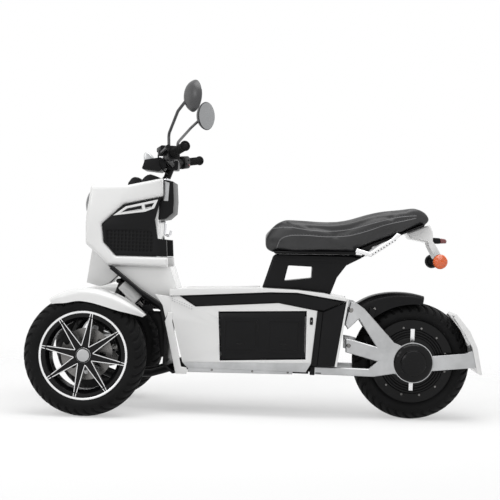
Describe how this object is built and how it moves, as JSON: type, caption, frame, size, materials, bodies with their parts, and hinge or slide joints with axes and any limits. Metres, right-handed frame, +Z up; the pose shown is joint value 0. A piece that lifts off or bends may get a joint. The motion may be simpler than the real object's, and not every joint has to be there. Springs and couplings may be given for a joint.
{
  "type": "electric three-wheel scooter",
  "caption": "Electric three-wheel scooter with two steered front wheels, a rear hub motor, an open foot deck, a long seat and side battery bays.",
  "frame": {"origin": "on the ground, midway between the foremost and rearmost points, on the centre plane", "axes": "+X rearward, +Y to the rider's right, +Z up"},
  "size_m": [1.7863, 0.734, 1.302],
  "materials": {
    "white_paint": "glossy white panels",
    "black_plastic": "grained black plastic",
    "black_metal": "satin black paint",
    "wheel_black": "gloss black cast wheel",
    "silver_metal": "satin aluminium",
    "steel": "ground steel",
    "chrome": "polished",
    "tyre": "matt rubber",
    "grip_rubber": "moulded rubber",
    "seat_leather": "grained black leather",
    "mirror": "mirror glass",
    "lamp_glass": "clear lens",
    "amber_lens": "amber lens",
    "red_lens": "dark red lens"
  },
  "bodies": {
    "chassis": {"bag_hook": "chrome", "battery_cover_right": "black_plastic", "battery_packs": "black_metal", "cowl_rails": "white_paint", "dampers": "silver_metal", "dash_panels": "black_plastic", "floor_deck": "white_paint", "front_cowl": "white_paint", "grab_rails": "silver_metal", "headlamp": "lamp_glass", "hub_covers": "black_plastic", "leg_shield": "white_paint", "main_frame": "black_metal", "marker_lamps": "lamp_glass", "mudguard_arms": "silver_metal", "rear_caliper": "black_metal", "rear_fender": "black_plastic", "rear_mudguard": "white_paint", "rear_signals": "amber_lens", "seat_base": "black_plastic", "seat_cushion": "seat_leather", "seat_support": "black_plastic", "side_panels": "white_paint", "side_pods": "black_plastic", "side_trims": "black_plastic", "sills": "silver_metal", "steering_tower": "black_metal", "swingarm": "silver_metal", "tail_cover": "white_paint", "tail_lamp": "red_lens", "underbody": "black_plastic", "wishbones": "silver_metal"},
    "steering": {"steering_stem": "black_metal", "handlebar": "black_metal", "grips": "grip_rubber", "hand_controls": "black_metal", "display": "black_plastic", "mirrors": "black_plastic", "mirror_glasses": "mirror", "brake_hoses": "grip_rubber"},
    "tie_rod_left": {"tie_rod_left": "steel"},
    "tie_rod_right": {"tie_rod_right": "steel"},
    "wheel_rear": {"rear_tyre": "tyre", "hub_motor": "wheel_black", "rear_disc": "steel"},
    "battery_door": {"battery_door": "black_plastic"},
    "knuckle_left": {"knuckle_left": "black_metal", "front_caliper_left": "black_metal", "front_fender_left": "white_paint"},
    "wheel_front_left": {"front_tyre_left": "tyre", "front_wheel_left": "wheel_black", "front_disc_left": "steel"},
    "knuckle_right": {"knuckle_right": "black_metal", "front_caliper_right": "black_metal", "front_fender_right": "white_paint"},
    "wheel_front_right": {"front_tyre_right": "tyre", "front_wheel_right": "wheel_black", "front_disc_right": "steel"}
  },
  "joints": [
    {"name": "steering_turn", "type": "hinge", "parent": "chassis", "child": "steering", "pos_m": [-0.6568, 0, 0.2364], "axis": [0.342, 0, 0.9397], "range_deg": [-30, 30]},
    {"name": "knuckle_left_turn", "type": "hinge", "parent": "chassis", "child": "knuckle_left", "pos_m": [-0.6568, -0.232, 0.2364], "axis": [0.342, 0, 0.9397], "range_deg": [-30, 30]},
    {"name": "tie_rod_left_turn", "type": "hinge", "parent": "steering", "child": "tie_rod_left", "pos_m": [-0.59016, -0.013, 0.24407], "axis": [0.342, 0, 0.9397], "range_deg": [-30, 30]},
    {"name": "wheel_front_left_spin", "type": "hinge", "parent": "knuckle_left", "child": "wheel_front_left", "pos_m": [-0.6568, -0.295, 0.2364], "axis": [0, 1, 0], "continuous": true},
    {"name": "knuckle_right_turn", "type": "hinge", "parent": "chassis", "child": "knuckle_right", "pos_m": [-0.6568, 0.232, 0.2364], "axis": [0.342, 0, 0.9397], "range_deg": [-30, 30]},
    {"name": "tie_rod_right_turn", "type": "hinge", "parent": "steering", "child": "tie_rod_right", "pos_m": [-0.59016, 0.013, 0.24407], "axis": [0.342, 0, 0.9397], "range_deg": [-30, 30]},
    {"name": "wheel_front_right_spin", "type": "hinge", "parent": "knuckle_right", "child": "wheel_front_right", "pos_m": [-0.6568, 0.295, 0.2364], "axis": [0, 1, 0], "continuous": true},
    {"name": "wheel_rear_spin", "type": "hinge", "parent": "chassis", "child": "wheel_rear", "pos_m": [0.6182, 0, 0.2364], "axis": [0, 1, 0], "continuous": true},
    {"name": "battery_door_swing", "type": "hinge", "parent": "chassis", "child": "battery_door", "pos_m": [-0.1558, -0.161, 0.4107], "axis": [0.0636, 0, -0.998], "range_deg": [0, 105]}
  ],
  "couplings": [
    {"joint": "knuckle_left_turn", "follows": "steering_turn", "ratio": 1},
    {"joint": "tie_rod_left_turn", "follows": "steering_turn", "ratio": -1},
    {"joint": "knuckle_right_turn", "follows": "steering_turn", "ratio": 1},
    {"joint": "tie_rod_right_turn", "follows": "steering_turn", "ratio": -1}
  ]
}
